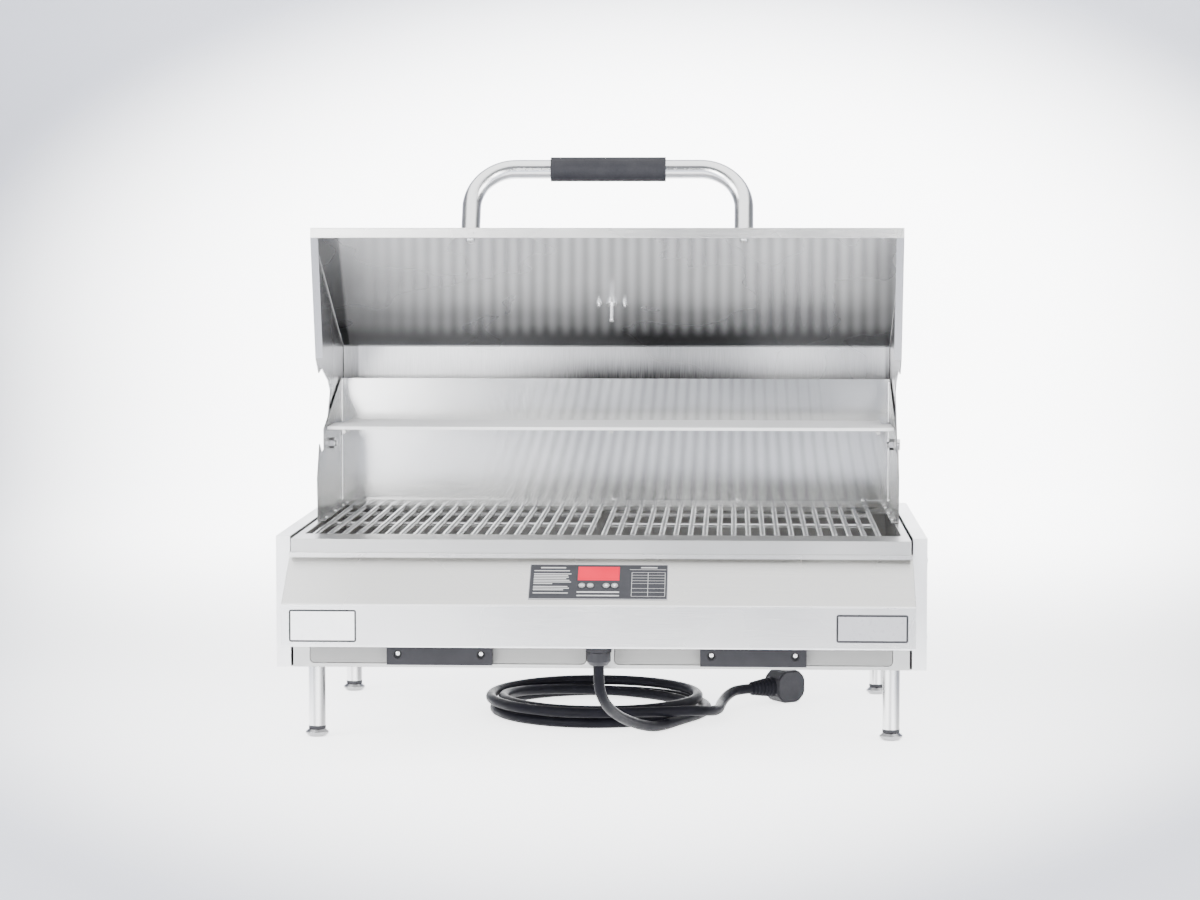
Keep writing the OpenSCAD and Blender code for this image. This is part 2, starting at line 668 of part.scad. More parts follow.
// Thermometer: round case on the lid with a stem through the sheet, studs and nuts inside
case_h = 16;
bezel = 3;
stem_d2 = 6;
stem_l = 30;
pin_d = 3;
module gauge_case() color(bright) in_frame() on_lid() translate([0, gauge_inset, 0]) {
    difference() {
        cylinder(d = gauge_d, h = case_h);
        translate([0, 0, case_h - 7]) cylinder(d = gauge_d - 2 * bezel, h = 10);
    }
    translate([0, 0, -stem_l]) cylinder(d = stem_d2, h = stem_l + 1);
    for (s = [-1, 1]) translate([s * stud_span / 2, 0, -8]) cylinder(d = stud_hole, h = 9);
    translate([0, 0, case_h - 8]) cylinder(d = pin_d, h = 4.5);
}
module gauge_nuts() color(polished) in_frame() on_lid() translate([0, gauge_inset, -sheet]) {
    for (s = [-1, 1]) translate([s * stud_span / 2, 0, -3]) difference() {
        cylinder(d = 8, h = 3);
        translate([0, 0, -1]) cylinder(d = stud_hole, h = 5);
    }
    translate([0, 0, -4]) difference() {
        cylinder(d = 16, h = 4);
        translate([0, 0, -1]) cylinder(d = stem_d2, h = 6);
    }
}
module gauge_glass() color([0.8, 0.9, 0.95]) in_frame() on_lid()
    translate([0, gauge_inset, case_h - 2.5]) cylinder(d = gauge_d - 2 * bezel, h = 1.5);
module gauge_needle() color([0.75, 0.1, 0.1]) in_frame() on_lid()
    translate([0, gauge_inset, case_h - 6]) difference() {
        union() {
            cylinder(d = 7, h = 1);
            translate([-1, -8, 0]) cube([2, gauge_d / 2 - bezel - 2, 1]);
        }
        translate([0, 0, -1]) cylinder(d = pin_d + 2 * pivot_gap, h = 3);
    }

// Mains cord: a swept tube along points, each as [right, back from the side panels' front, up]
cord_r = cord_d / 2;
gland_low = housing_z - gland_h;
plug_turn = 35;
plug_dir = [cos(plug_turn), sin(plug_turn), 0];
plug_at = [190, 352, 22.5];
coil_mid = [-16, 285];
coil_out = 148;
coil_step = 17;
layer_h = 15.5;
coil_from = -27;
coil_to = 1000;
coil_turn_at = (coil_from + coil_to) / 2;
function ease(u) = u <= 0 ? 0 : u >= 1 ? 1 : u * u * (3 - 2 * u);
function coil_r(a) = coil_out - coil_step * (min(a, 2 * coil_turn_at - a) - coil_from) / 360;
function coil_z(a) = 7 + layer_h * ease((a - coil_turn_at) / 180 + 0.5);
function coil_point(a) = [coil_mid[0] + coil_r(a) * cos(a), coil_mid[1] + coil_r(a) * sin(a), coil_z(a)];
coil_rings = 24 * 3;
coil_path = [for (i = [0 : coil_rings]) coil_point(coil_from + (coil_to - coil_from) * i / coil_rings)];
coil_start = coil_point(coil_from);
coil_end = coil_point(coil_to);
start_dir = [-sin(coil_from), cos(coil_from), 0];
end_dir = [-sin(coil_to), cos(coil_to), 0];
cord_straight = 14;
coil_run_in = 46;
lead_route = [
    [0, gland_y, gland_low], [0, gland_y, gland_low - cord_straight],
    [1, -42, 84], [4, -34, 71], [9, -18, 58],
    [16, 4, 46], [25, 30, 35], [36, 58, 25], [49, 86, 16], [63, 113, 9.5], [78, 142, 7],
    coil_start - coil_run_in * start_dir, coil_start - cord_straight * start_dir, coil_start
];
tail_route = [
    coil_end, coil_end + cord_straight * end_dir,
    [52, 147, 22.5], [80, 153, 22.5], [106, 164, 22], [127, 180, 19.5],
    [141, 204, 16], [147, 232, 14], [149, 260, 13.5], [152, 288, 15], [158, 313, 18.5], [167, 333, 21.5],
    plug_at - cord_straight * plug_dir, plug_at
];

// Smooth path through route points, its tangents and its rings
function spline(a, b, c, d, u) = 0.5 * (2 * b + (c - a) * u + (2 * a - 5 * b + 4 * c - d) * u * u
    + (3 * b - a - 3 * c + d) * u * u * u);
function smooth(p, n) = concat([for (i = [0 : len(p) - 2], k = [0 : n - 1])
    spline(p[max(i - 1, 0)], p[i], p[i + 1], p[min(i + 2, len(p) - 1)], k / n)], [p[len(p) - 1]]);
function tangent(p, i) = unit(p[min(i + 1, len(p) - 1)] - p[max(i - 1, 0)]);
function square_to(v, t) = unit(v - (v * t) * t);
function frames(p, v, i = 0) = i == len(p) ? [] :
    let (w = square_to(v, tangent(p, i))) concat([w], frames(p, w, i + 1));
function tube_points(p, f, r, n) = [for (i = [0 : len(p) - 1], k = [0 : n - 1])
    p[i] + r * (cos(360 * k / n) * f[i] + sin(360 * k / n) * cross(tangent(p, i), f[i]))];
function tube_faces(m, n) = concat(
    [for (i = [0 : m - 2], k = [0 : n - 1]) [i * n + k, (i + 1) * n + k, (i + 1) * n + (k + 1) % n]],
    [for (i = [0 : m - 2], k = [0 : n - 1]) [i * n + k, (i + 1) * n + (k + 1) % n, i * n + (k + 1) % n]],
    [for (k = [1 : n - 2]) [0, k, k + 1]],
    [for (k = [1 : n - 2]) [(m - 1) * n, (m - 1) * n + k + 1, (m - 1) * n + k]]);
module tube(p, start, sides) polyhedron(tube_points(p, frames(p, start), cord_r, sides),
    tube_faces(len(p), sides));

lead_path = smooth(lead_route, 3);
tail_path = smooth(tail_route, 3);
coil_gap = min([for (i = [0 : coil_rings - 1], j = [0 : coil_rings - 1])
    if (j - i > 12) norm(coil_path[i] - coil_path[j])]) - cord_d;
echo(coil_self_gap = coil_gap);
module cord_lead() color(black_rubber) in_frame() tube(lead_path, [1, 0, 0], 10);
module cord_coil() color(black_rubber) in_frame() tube(coil_path, [0, 0, 1], 6);
module cord_tail() color(black_rubber) in_frame() tube(tail_path, [0, 0, 1], 10);

// Angled plug at the cord's end, lying on the table with its blades to the rear
neck_l = 34;
neck_d = [18, 28];
plug_w = 46;
plug_h = 44;
plug_t = 34;
plug_cut = 11;
blade_l = 19;
blade_h = 8;
blade_t = 2;
blade_gap = 13;
earth_d = 5;
module at_plug() translate(plug_at) rotate([0, 0, plug_turn]) children();
module plug_face() polygon([
    [0, plug_cut - plug_h / 2], [plug_cut, -plug_h / 2], [plug_w - plug_cut, -plug_h / 2],
    [plug_w, plug_cut - plug_h / 2], [plug_w, plug_h / 2 - plug_cut], [plug_w - plug_cut, plug_h / 2],
    [plug_cut, plug_h / 2], [0, plug_h / 2 - plug_cut]
]);
module plug_body() color(black_rubber) in_frame() at_plug() {
    rotate([0, 90, 0]) cylinder(d1 = neck_d[0], d2 = neck_d[1], h = neck_l);
    translate([neck_l, plug_t / 2, 0]) rotate([90, 0, 0]) linear_extrude(plug_t) plug_face();
}
module plug_blades() color(polished) in_frame() at_plug()
    translate([neck_l + plug_w / 2, plug_t / 2, 0]) {
        for (s = [-1, 1]) translate([s * blade_gap / 2 - blade_t / 2, 0, -blade_h / 2])
            cube([blade_t, blade_l, blade_h]);
        rod_y([0, 0, -blade_gap], earth_d, blade_l);
    }

side_panel(-1);  // side_panel_left
side_panel(1);  // side_panel_right
base_pan();
tray_frame();
firebox();
rear_cover();
rear_wall();
wing(-1);  // wing_left
wing(1);  // wing_right
shelf_rods();
reflector_pan();
heating_element();
element_stands();
temperature_probe();
control_housing();
control_overlay();
display_window();
control_board();
relay_block();
plate_left();
plate_right();
cable_gland();
gland_nut();
leg(-1, leg_front_y);  // leg_front_left
leg(1, leg_front_y);  // leg_front_right
leg(-1, leg_rear_y);  // leg_rear_left
leg(1, leg_rear_y);  // leg_rear_right
leg_collars();
feet();
panel_screws();
hinge_bolts();
warming_shelf();
grate(-1);  // grate_left
grate(1);  // grate_right
tray(-1);  // tray_left
tray(1);  // tray_right
tray_handle(-1);  // tray_handle_left
tray_handle(1);  // tray_handle_right
tray_screws(-1);  // tray_screws_left
tray_screws(1);  // tray_screws_right
button(button_places[0]);  // button_on
button(button_places[1]);  // button_off
button(button_places[2]);  // button_up
button(button_places[3]);  // button_down
lid_shell();
lid_side(-1);  // lid_side_left
lid_side(1);  // lid_side_right
lid_rim();
handle_tube();
handle_grip();
handle_screws();
gauge_case();
gauge_nuts();
gauge_glass();
gauge_needle();
cord_lead();
cord_coil();
cord_tail();
plug_body();
plug_blades();
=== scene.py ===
import math

import bmesh
import bpy
from mathutils import Matrix, Vector


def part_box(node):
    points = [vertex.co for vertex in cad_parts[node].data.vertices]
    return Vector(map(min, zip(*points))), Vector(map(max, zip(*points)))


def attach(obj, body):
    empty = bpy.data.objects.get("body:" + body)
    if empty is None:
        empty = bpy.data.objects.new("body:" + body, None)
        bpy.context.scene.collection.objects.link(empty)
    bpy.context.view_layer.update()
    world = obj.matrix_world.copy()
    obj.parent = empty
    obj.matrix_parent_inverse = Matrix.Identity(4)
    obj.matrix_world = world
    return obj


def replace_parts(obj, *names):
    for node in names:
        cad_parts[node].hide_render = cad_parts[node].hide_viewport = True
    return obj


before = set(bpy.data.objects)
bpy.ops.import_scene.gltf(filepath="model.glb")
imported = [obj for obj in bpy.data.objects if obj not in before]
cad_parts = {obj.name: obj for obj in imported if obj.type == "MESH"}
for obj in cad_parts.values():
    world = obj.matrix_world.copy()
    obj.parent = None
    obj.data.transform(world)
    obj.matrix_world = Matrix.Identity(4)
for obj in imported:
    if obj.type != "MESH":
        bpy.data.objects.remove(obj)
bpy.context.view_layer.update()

# Studio: the grill stands on a plain pale table in front of a seamless paper backdrop.
# Large soft lights hang above it and stand at both sides and in front, and a long lens looks on
# from a little over lid height.
eye = Vector((0.167, -3.971, 0.660))
look_left, look_down = math.radians(2.54), math.radians(4.32)
film_w, picture_w, lens_px = 36, 1200, 3044
camera = bpy.data.objects.new("camera", bpy.data.cameras.new("camera"))
bpy.context.scene.collection.objects.link(camera)
camera.data.sensor_width = film_w
camera.data.lens = lens_px / picture_w * film_w
camera.data.clip_end = 60
camera.location = eye
camera.rotation_euler = (math.pi / 2 - look_down, 0, look_left)
bpy.context.scene.camera = camera


class Wire:
    """A value, colour or vector on its way through a material's nodes."""

    def __init__(self, tree, socket):
        self.tree, self.socket = tree, socket

    def node(self, kind, settings=None, inputs=None, out=0):
        made = self.tree.nodes.new(kind)
        for key, value in (settings or {}).items():
            if key == "stops":
                stops = made.color_ramp.elements
                while len(stops) < len(value):
                    stops.new(1)
                for stop, (place, colour) in zip(stops, value):
                    stop.position, stop.color = place, colour
            else:
                setattr(made, key, value)
        for key, value in (inputs or {}).items():
            if isinstance(value, Wire):
                self.tree.links.new(value.socket, made.inputs[key])
            else:
                made.inputs[key].default_value = value
        return Wire(self.tree, made.outputs[out])

    def maths(self, operation, first, second=0.0):
        return self.node("ShaderNodeMath", {"operation": operation}, {0: first, 1: second})

    def __add__(self, other):
        return self.maths("ADD", self, other)

    def __sub__(self, other):
        return self.maths("SUBTRACT", self, other)

    def __mul__(self, other):
        return self.maths("MULTIPLY", self, other)

    def __truediv__(self, other):
        return self.maths("DIVIDE", self, other)

    def __lt__(self, other):
        return self.maths("LESS_THAN", self, other)

    def __gt__(self, other):
        return self.maths("GREATER_THAN", self, other)

    def __abs__(self):
        return self.maths("ABSOLUTE", self)

    def __rsub__(self, other):
        return self.maths("SUBTRACT", other, self)

    __radd__, __rmul__ = __add__, __mul__

    def noise(self, scale, detail=3.0, stretch=(1, 1, 1)):
        place = self.node("ShaderNodeMapping", {}, {"Vector": self, "Scale": stretch})
        wanted = {"Vector": place, "Scale": scale, "Detail": detail}
        return place.node("ShaderNodeTexNoise", {}, wanted, "Fac")

    def mix(self, first, second):
        """This value as the share of the second colour."""
        return self.node("ShaderNodeMix", {"data_type": "RGBA"}, {"Factor": self, 6: first, 7: second}, 2)

    def spread(self, low, high):
        """The usual reach of a noise, stretched between two values."""
        reach = {"Value": self, "From Min": 0.3, "From Max": 0.7, "To Min": low, "To Max": high}
        return self.node("ShaderNodeMapRange", {}, reach)

    def ramp(self, low, high, first=0.0, last=1.0):
        """A soft step from one value to another."""
        step = {"Value": self, "From Min": low, "From Max": high, "To Min": first, "To Max": last}
        return self.node("ShaderNodeMapRange", {"interpolation_type": "SMOOTHSTEP"}, step)

    def mottle(self, scale, detail, dark, light):
        """A colour that wanders between two others."""
        return self.noise(scale, detail).spread(0, 1).mix(dark + (1,), light + (1,))

    def fold(self, radius):
        return self.node("ShaderNodeBevel", {"samples": 4}, {"Radius": radius})

    def bump(self, distance, strength=1.0, **under):
        raised = {"Strength": strength, "Distance": distance, "Height": self, **under}
        return self.node("ShaderNodeBump", {}, raised)

    def axes(self):
        split = self.node("ShaderNodeSeparateXYZ", {}, {"Vector": self}).socket.node
        return [Wire(self.tree, split.outputs[i]) for i in range(3)]


def finish(name, **constants):
    """A new material: its shader node and the surface's own coordinates."""
    made = bpy.data.materials.new(name)
    made.use_nodes = True
    shader = made.node_tree.nodes["Principled BSDF"]
    for key, value in constants.items():
        shader.inputs[key.replace("_", " ").title().replace("Ior", "IOR")].default_value = value
    places = made.node_tree.nodes.new("ShaderNodeTexCoord")
    return made, shader, Wire(made.node_tree, places.outputs["Object"])


def feed(shader, **wires):
    for key, wire in wires.items():
        wire.tree.links.new(wire.socket, shader.inputs[key.replace("_", " ").title()])


paper, paper_shader, at = finish("backdrop_paper", roughness=0.9, emission_strength=7.0)
x, y, z = at.axes()
clear_half, clear_grows = 0.85, 0.2
near_from, near_reach = 0.3, 1.35
high_from, high_gain = 0.35, 1.12
# Painted light: the paper glows by its own emission, weaker towards the front and stronger far back, and a
# painted vignette darkens its colour and emission towards the sides, the front and higher up.
across = x / (y * clear_grows + clear_half)
near = at.maths("MAXIMUM", near_from - y, 0.0) / near_reach
high = at.maths("MAXIMUM", z - high_from, 0.0) * high_gain
edge = (across * across + near * near + high * high).ramp(0.2, 1.5)
far = y.ramp(0.5, 2.6)
fibre = at.mottle(0.7, 2, (0.90, 0.905, 0.92), (0.92, 0.925, 0.94))
painted_glow = far.mix((0.38, 0.38, 0.38, 1), (1, 1, 1, 1))
feed(paper_shader, base_color=edge.mix(fibre, (0.70, 0.72, 0.80, 1)),
     emission_color=edge.mix(painted_glow, (0, 0, 0, 1)))
sweep = bpy.data.meshes.new("backdrop")
front, back, side, lift, turn, sink = -6.0, 3.2, 8.0, 6.0, 1.2, 0.0002
line = [(front, 0.0), (back, 0.0)]
for a in range(9, 91, 9):
    line.append((back + turn * math.sin(math.radians(a)), turn - turn * math.cos(math.radians(a))))
line += [(back + turn, lift)]
form = bmesh.new()
rows = [[form.verts.new((x, y, z - sink)) for x in (-side, side)] for y, z in line]
for low, high in zip(rows, rows[1:]):
    form.faces.new((low[0], low[1], high[1], high[0])).smooth = True
form.to_mesh(sweep)
form.free()
backdrop = bpy.data.objects.new("backdrop", sweep)
bpy.context.scene.collection.objects.link(backdrop)
sweep.materials.append(paper)

world = bpy.data.worlds.new("studio")
world.use_nodes = True
bpy.context.scene.world = world
world.node_tree.nodes["Background"].inputs["Color"].default_value = (0.88, 0.92, 1.0, 1)
world.node_tree.nodes["Background"].inputs["Strength"].default_value = 0.32


def softbox(name, place, aim, size, power):
    lamp = bpy.data.lights.new(name, "AREA")
    lamp.shape, lamp.size, lamp.size_y, lamp.energy = "RECTANGLE", size[0], size[1], power
    made = bpy.data.objects.new(name, lamp)
    bpy.context.scene.collection.objects.link(made)
    made.location = place
    made.rotation_euler = (Vector(aim) - Vector(place)).to_track_quat("-Z", "Y").to_euler()


softbox("ceiling_box", (0, -0.4, 3.2), (0, -0.4, 0), (6.0, 4.6), 240)
softbox("left_box", (-2.8, -1.7, 1.4), (0, 0, 0.35), (1.8, 2.2), 130)
softbox("right_box", (2.9, -1.9, 1.3), (0, 0, 0.35), (1.6, 2.0), 100)
softbox("front_box", (-2.1, -4.4, 0.8), (-0.1, 0, 0.35), (2.4, 1.8), 190)
softbox("front_right_box", (2.0, -4.4, 0.8), (0.1, 0, 0.35), (1.4, 1.8), 120)

# Side panels: two folded stainless boxes, brushed from front to back, that carry everything else.
# Their edges are folded to a small radius, and they are screwed to the pan and the firebox.
def wear(material, *nodes):
    """Puts a finish on CAD pieces that are shown as they are."""
    for name in nodes:
        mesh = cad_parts[name].data
        mesh.materials.clear()
        mesh.materials.append(material)


def steel(name, colour, rough, along=0, groove=0.00005, edge=0.0008, metal=1.0, painted_highlight=None, painted_shading=None):
    """Brushed stainless sheet: fine grooves along one axis, soft smudges and folded edges, with optional
    painted highlights mixed towards white and painted shading mixed towards dark.
    """
    made, shader, at = finish(name, metallic=metal)
    fine, coarse = [900.0] * 3, [60.0] * 3
    fine[along], coarse[along] = 4.0, 0.8
    grooves = at.noise(4, 2, fine)
    grain = at.noise(5, 3, coarse)
    cloud = at.noise(6, 2)
    tone = grain.spread(-0.05, 0.05) + cloud.spread(-0.06, 0.06) + 0.5
    dark = tuple(c * 0.84 for c in colour) + (1,)
    light = tuple(min(1, c * 1.14) for c in colour) + (1,)
    skin = tone.mix(dark, light)
    # Painted highlights lighten the colour and painted shading darkens it, wherever their masks reach.
    if painted_highlight:
        skin = painted_highlight(*at.axes()).mix(skin, (1, 1, 1, 1))
    if painted_shading:
        skin = painted_shading(*at.axes()).mix(skin, (0.10, 0.10, 0.105, 1))
    feed(shader, base_color=skin, roughness=cloud.spread(rough - 0.03, rough + 0.04))
    feed(shader, normal=grooves.bump(groove, Normal=at.fold(edge)))
    return made


side_steel = steel("side_steel", (0.96, 0.96, 0.96), 0.30, 1, metal=0.8)
wear(side_steel, "side_panel_left", "side_panel_right")

# Base pan and tray frame: a satin bottom pan with folded rails and runners for the trays,
# and in front of it the frame with two rounded openings. Both are pressed sheet, spot-welded together.
satin_steel = steel("satin_steel", (0.50, 0.50, 0.50), 0.42)
wear(satin_steel, "base_pan")
frame_steel = steel("frame_steel", (0.50, 0.50, 0.49), 0.30, edge=0.0014)
wear(frame_steel, "tray_frame")

# Firebox and rear cover: a deep box of folded sheet with a bright ledge all round, welded at its corners,
# and the screwed cover over the wiring behind it. Both have the frame's finish.
wear(frame_steel, "firebox", "rear_cover")

# Upright back: a rear wall and two wings in bright rolled sheet, screwed to the ledge.
# They carry the three shelf rods and the hinge bolts; the shelf is a loose folded sheet on the rods.
# The upright bands on the rear wall and the lid are painted reflections of the grate's rods, which fan out from
# fan_x.
band_pitch, fan_x = 0.0178, 0.167


def rolled(name, colour, rough, bands, start, strength, painted_shading, inner, banded=None, metal=1.0):
    """Bright rolled sheet: painted upright bands that stand for the rods' reflections below, painted light and
    shading, and a fine upright grain.
    """
    made, shader, at = finish(name, metallic=metal)
    x, y, z = at.axes()
    cloud = at.noise(6, 2)
    fine = at.noise(4, 2, (600, 600, 12))
    plain_tone, blend = 0.72, (start - 0.08, start + 0.12)
    # Painted reflections of the grate's rods as upright bands, with the painted light and shading added on top.
    painted_reflection = at.maths("SINE", bands(x, y, z) * (2 * math.pi / band_pitch) + cloud * 0.8)
    painted_reflection = painted_reflection * x.ramp(*blend) * strength
    tone = (painted_reflection * banded(y, z) if banded else painted_reflection) + painted_shading(x, y, z)
    tone = inner(y, z) * (tone - plain_tone) + plain_tone
    tone = at.maths("MAXIMUM", tone + cloud.spread(-0.06, 0.06) + fine.spread(-0.07, 0.07), 0.0)
    feed(shader, base_color=tone.mix((0.02, 0.02, 0.022, 1), colour + (1,)),
         roughness=cloud.spread(rough - 0.02, rough + 0.03), normal=fine.bump(0.00002, Normal=at.fold(0.0008)))
    return made


def wall_bands(x, y, z):
    """Painted reflected bands of the rods, which lean outwards with the height above the wall's foot."""
    return (x - fan_x) * ((z - 0.27) * 1.1 + 1)


def wall_shade(x, y, z):
    """Painted light and shading: brightest at the left, above the shelf and on the flange at the foot."""
    sides = x.ramp(-0.28, -0.02, 1.0, 0.80) + x.ramp(0.1, 0.36, 0.0, 0.25)
    return sides + (z < 0.2735) * 0.2 + (z > 0.383) * 0.13


wall_sheet = rolled("wall_sheet", (0.90, 0.90, 0.89), 0.17, wall_bands, -0.15, 0.16, wall_shade,
                    lambda y, z: y < 0.2395)
wear(wall_sheet, "rear_wall")
bright_sheet = steel("bright_sheet", (0.20, 0.20, 0.198), 0.24, 2, 0.00003)
wear(bright_sheet, "wing_left", "wing_right")
shelf_steel = steel("shelf_steel", (1.0, 1.0, 1.0), 0.5, metal=0.0)
wear(shelf_steel, "warming_shelf")
front_steel = steel("front_steel", (0.60, 0.595, 0.58), 0.26, edge=0.0018)
wear(front_steel, "shelf_rods")

# Heat source: a bright reflector pan on the firebox's foot, the dark sheathed element on its stands,
# and the probe of the thermostat. The element is a bent tube, and the stands are folded strip.
pan_steel = steel("pan_steel", (0.95, 0.95, 0.95), 0.45, metal=0.6)
wear(pan_steel, "reflector_pan")
wear(satin_steel, "element_stands", "temperature_probe")
sheath = steel("element_sheath", (0.34, 0.33, 0.325), 0.5)
wear(sheath, "heating_element")

# Control housing: a folded stainless nose with a sloped top, brushed from side to side.
# It hangs under the firebox's lip, screwed to the tray frame; painted highlights lie along its long folds and
# brighten its left end.
front_y, fold_z, foot_z, line_half = -0.2835, 0.1901, 0.1388, 0.0010


def painted_fold_highlights(x, y, z):
    """Painted highlights: the upright front lightened, most at its left end, thin bright lines along its two
    long folds, and the housing's left end lightened.
    """
    folds = (abs(z - fold_z) < line_half) + (abs(z - foot_z) < line_half)
    return (y < front_y) * (folds + x.ramp(-0.40, 0.10, 0.55, 0.28)) + x.ramp(-0.40, -0.27, 0.30, 0.0)


housing_steel = steel("housing_steel", (0.60, 0.595, 0.58), 0.26, edge=0.0018, painted_highlight=painted_fold_highlights)
wear(housing_steel, "control_housing")

# Control panel: a printed dark film stuck on the slope, a red display window and four silver keys in it.
# The circuit board stands on studs behind. The print is plain bars and an empty table.
slope_deg, slope_at = math.radians(34.99), (-0.2491, 0.2153)
film, film_shader, at = finish("overlay_film", roughness=0.38, specular_ior_level=0.2)
u, y, z = at.axes()
v = (y - slope_at[0]) * math.cos(slope_deg) + (z - slope_at[1]) * math.sin(slope_deg)


def printed(u0, u1, v0, v1):
    """Share of ink in a rectangle of the film, in millimetres from its middle."""
    return (u > u0 / 1000) * (u < u1 / 1000) * (v > v0 / 1000) * (v < v1 / 1000)


bar_left, bar_half, rule_half = -80, 0.75, 0.25
table_left, table_mid, table_right, table_low, table_high = 41, 61, 82, -26.5, 17.5
ink = printed(-72, -41, 24.6, 26.6) + printed(52, 72, 25.4, 27.4) + printed(38, 83, 22.4, 23.0)
bars = ((20, -36), (14.2, -34), (11.2, -38), (8.2, -37), (5.2, -40), (2.2, -36), (-0.8, -34), (-3.8, -57),
        (-9.2, -38), (-12.2, -36), (-15.2, -43), (-21, -37))
for height, bar_right in bars:
    ink = ink + printed(bar_left, bar_right, height - bar_half, height + bar_half)
for height in (table_high, 12.4, 7.3, 2.2, -2.9, -12, -19, table_low):
    ink = ink + printed(table_left, table_right, height - rule_half, height + rule_half)
for place in (table_left, table_mid, table_right):
    ink = ink + printed(place - rule_half, place + rule_half, table_low, table_high)
ink = ink + printed(-26, 26, -20.2, -17.8) + printed(-26, 26, -26.4, -24.4)
frame_line = 1 - printed(-84.6, 84.6, -31.1, 31.1)
ground = at.mottle(90, 3, (0.026, 0.0265, 0.031), (0.032, 0.0325, 0.038))
ground = frame_line.mix(ground, (0.30, 0.30, 0.31, 1))
feed(film_shader, base_color=at.maths("MINIMUM", ink, 1.0).mix(ground, (0.50, 0.50, 0.50, 1)),
     roughness=at.noise(150, 2).spread(0.32, 0.44))
wear(film, "control_overlay")
window, window_shader, at = finish("display_window", roughness=0.6, specular_ior_level=0.0,
                                   emission_strength=1.5)
feed(window_shader, base_color=at.mottle(40, 2, (0.20, 0.002, 0.006), (0.24, 0.003, 0.008)),
     emission_color=at.mottle(40, 2, (0.95, 0.015, 0.075), (1.0, 0.020, 0.085)))
wear(window, "display_window")
key_metal = steel("key_metal", (0.34, 0.34, 0.345), 0.35)
wear(key_metal, "button_on", "button_off", "button_up", "button_down")
legend_paint, legend_shader, at = finish("legend_paint", roughness=0.5)
feed(legend_shader, base_color=at.mottle(300, 2, (0.86, 0.86, 0.86), (0.93, 0.93, 0.93)))
slope_frame = Matrix.Translation((0, *slope_at)) @ Matrix.Rotation(slope_deg, 4, "X")
key_top, key_v, key_near, key_far = 0.0022, -0.008, 0.0098, 0.0202
legend_t = 0.0001


def piece(name, mesh, body, slot, *materials):
    """A mesh that is already in its place becomes a piece on a body."""
    mesh.name = name
    for material in materials:
        mesh.materials.append(material)
    made = bpy.data.objects.new(name, mesh)
    bpy.context.scene.collection.objects.link(made)
    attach(made, body)
    return made


def lettering(text, size):
    """Raised letters, flat and centred, as a mesh."""
    curve = bpy.data.curves.new("lettering", "FONT")
    curve.body, curve.size, curve.extrude = text, size, legend_t
    curve.align_x, curve.align_y = "CENTER", "CENTER"
    writer = bpy.data.objects.new("lettering", curve)
    bpy.context.scene.collection.objects.link(writer)
    mesh = bpy.data.meshes.new_from_object(writer.evaluated_get(bpy.context.evaluated_depsgraph_get()))
    bpy.data.objects.remove(writer)
    mesh.materials.clear()
    return mesh


def arrow(way):
    """A raised triangle that points up or down the slope."""
    half, foot, tip = 0.0021, 0.0014, 0.0021
    mesh = bpy.data.meshes.new("arrow")
    flat = [(-half, -foot * way), (half, -foot * way), (0, tip * way)]
    mesh.from_pydata([(*p, h) for h in (-legend_t, legend_t) for p in flat], [], [
        (2, 1, 0), (3, 4, 5), (0, 1, 4, 3), (1, 2, 5, 4), (2, 0, 3, 5)])
    return mesh


legends = (("on", -key_far, lettering("ON", 0.0036)), ("off", -key_near, lettering("OFF", 0.0032)),
           ("up", key_near, arrow(1)), ("down", key_far, arrow(-1)))
for key, key_u, legend in legends:
    legend.transform(slope_frame @ Matrix.Translation((key_u, key_v, key_top)))
    piece(key + "_legend", legend, key + "_key", "overlay_film", legend_paint)
board, board_shader, at = finish("board_lacquer", roughness=0.35)
feed(board_shader, base_color=at.mottle(120, 2, (0.02, 0.10, 0.05), (0.04, 0.16, 0.08)))
wear(board, "control_board")

# Bare plates: two printed film plates, stuck to the front of the housing at both ends.
# Each has a thin dark border with round corners; the left one is white, the right one is silver.
border_in, border_out = 0.0028, 0.0004


def plate_film(node, ground, border, corner):
    low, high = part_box(node)
    middle, half = (low + high) / 2, (high - low) / 2
    made, shader, at = finish(node + "_film", roughness=0.3)
    x, _, z = at.axes()
    across = at.maths("MAXIMUM", abs(x - middle.x) - (half.x - corner), 0.0)
    up = at.maths("MAXIMUM", abs(z - middle.z) - (half.z - corner), 0.0)
    reach = at.maths("SQRT", across * across + up * up)
    line = (reach > corner - border_in) * (reach < corner - border_out)
    blank = at.mottle(60, 3, tuple(c * 0.95 for c in ground), ground)
    feed(shader, base_color=line.mix(blank, border + (1,)), roughness=at.noise(200, 2).spread(0.25, 0.4))
    wear(made, node)


plate_film("plate_left", (0.93, 0.93, 0.94), (0.012, 0.012, 0.014), 0.0035)
plate_film("plate_right", (0.36, 0.36, 0.38), (0.006, 0.006, 0.008), 0.0032)

# Cable gland, relay and tray handles: moulded dark plastic with a fine spark-eroded grain.
# The gland is held by its nut, the relay stands beside the board and the handles are screwed to the trays.
moulded, moulded_shader, at = finish("moulded_plastic", roughness=0.45, specular_ior_level=0.3)
grain = at.noise(900, 2)
feed(moulded_shader, base_color=at.mottle(30, 3, (0.007, 0.007, 0.010), (0.011, 0.011, 0.015)),
     roughness=grain.spread(0.38, 0.52), normal=grain.bump(0.0002, 0.15, Normal=at.fold(0.0015)))
wear(moulded, "cable_gland", "gland_nut", "relay_block", "tray_handle_left", "tray_handle_right")

# Legs: four polished tubes that plug into the base pan's corners.
# Each ends in a dark rubber collar and a domed steel foot.
leg_x = 0.367


def leg_streaks(x, y, z):
    """Long dark streaks that a tube mirrors from the room, by the distance from its own axis."""
    local = x - x.maths("SIGN", x) * leg_x
    flank = local.ramp(0.0022, 0.0078, 0.0, 0.80) * local.ramp(0.0097, 0.0108, 1.0, 0.60)
    return flank + abs(local + 0.0020).ramp(0.0006, 0.0028, 0.50, 0.0)


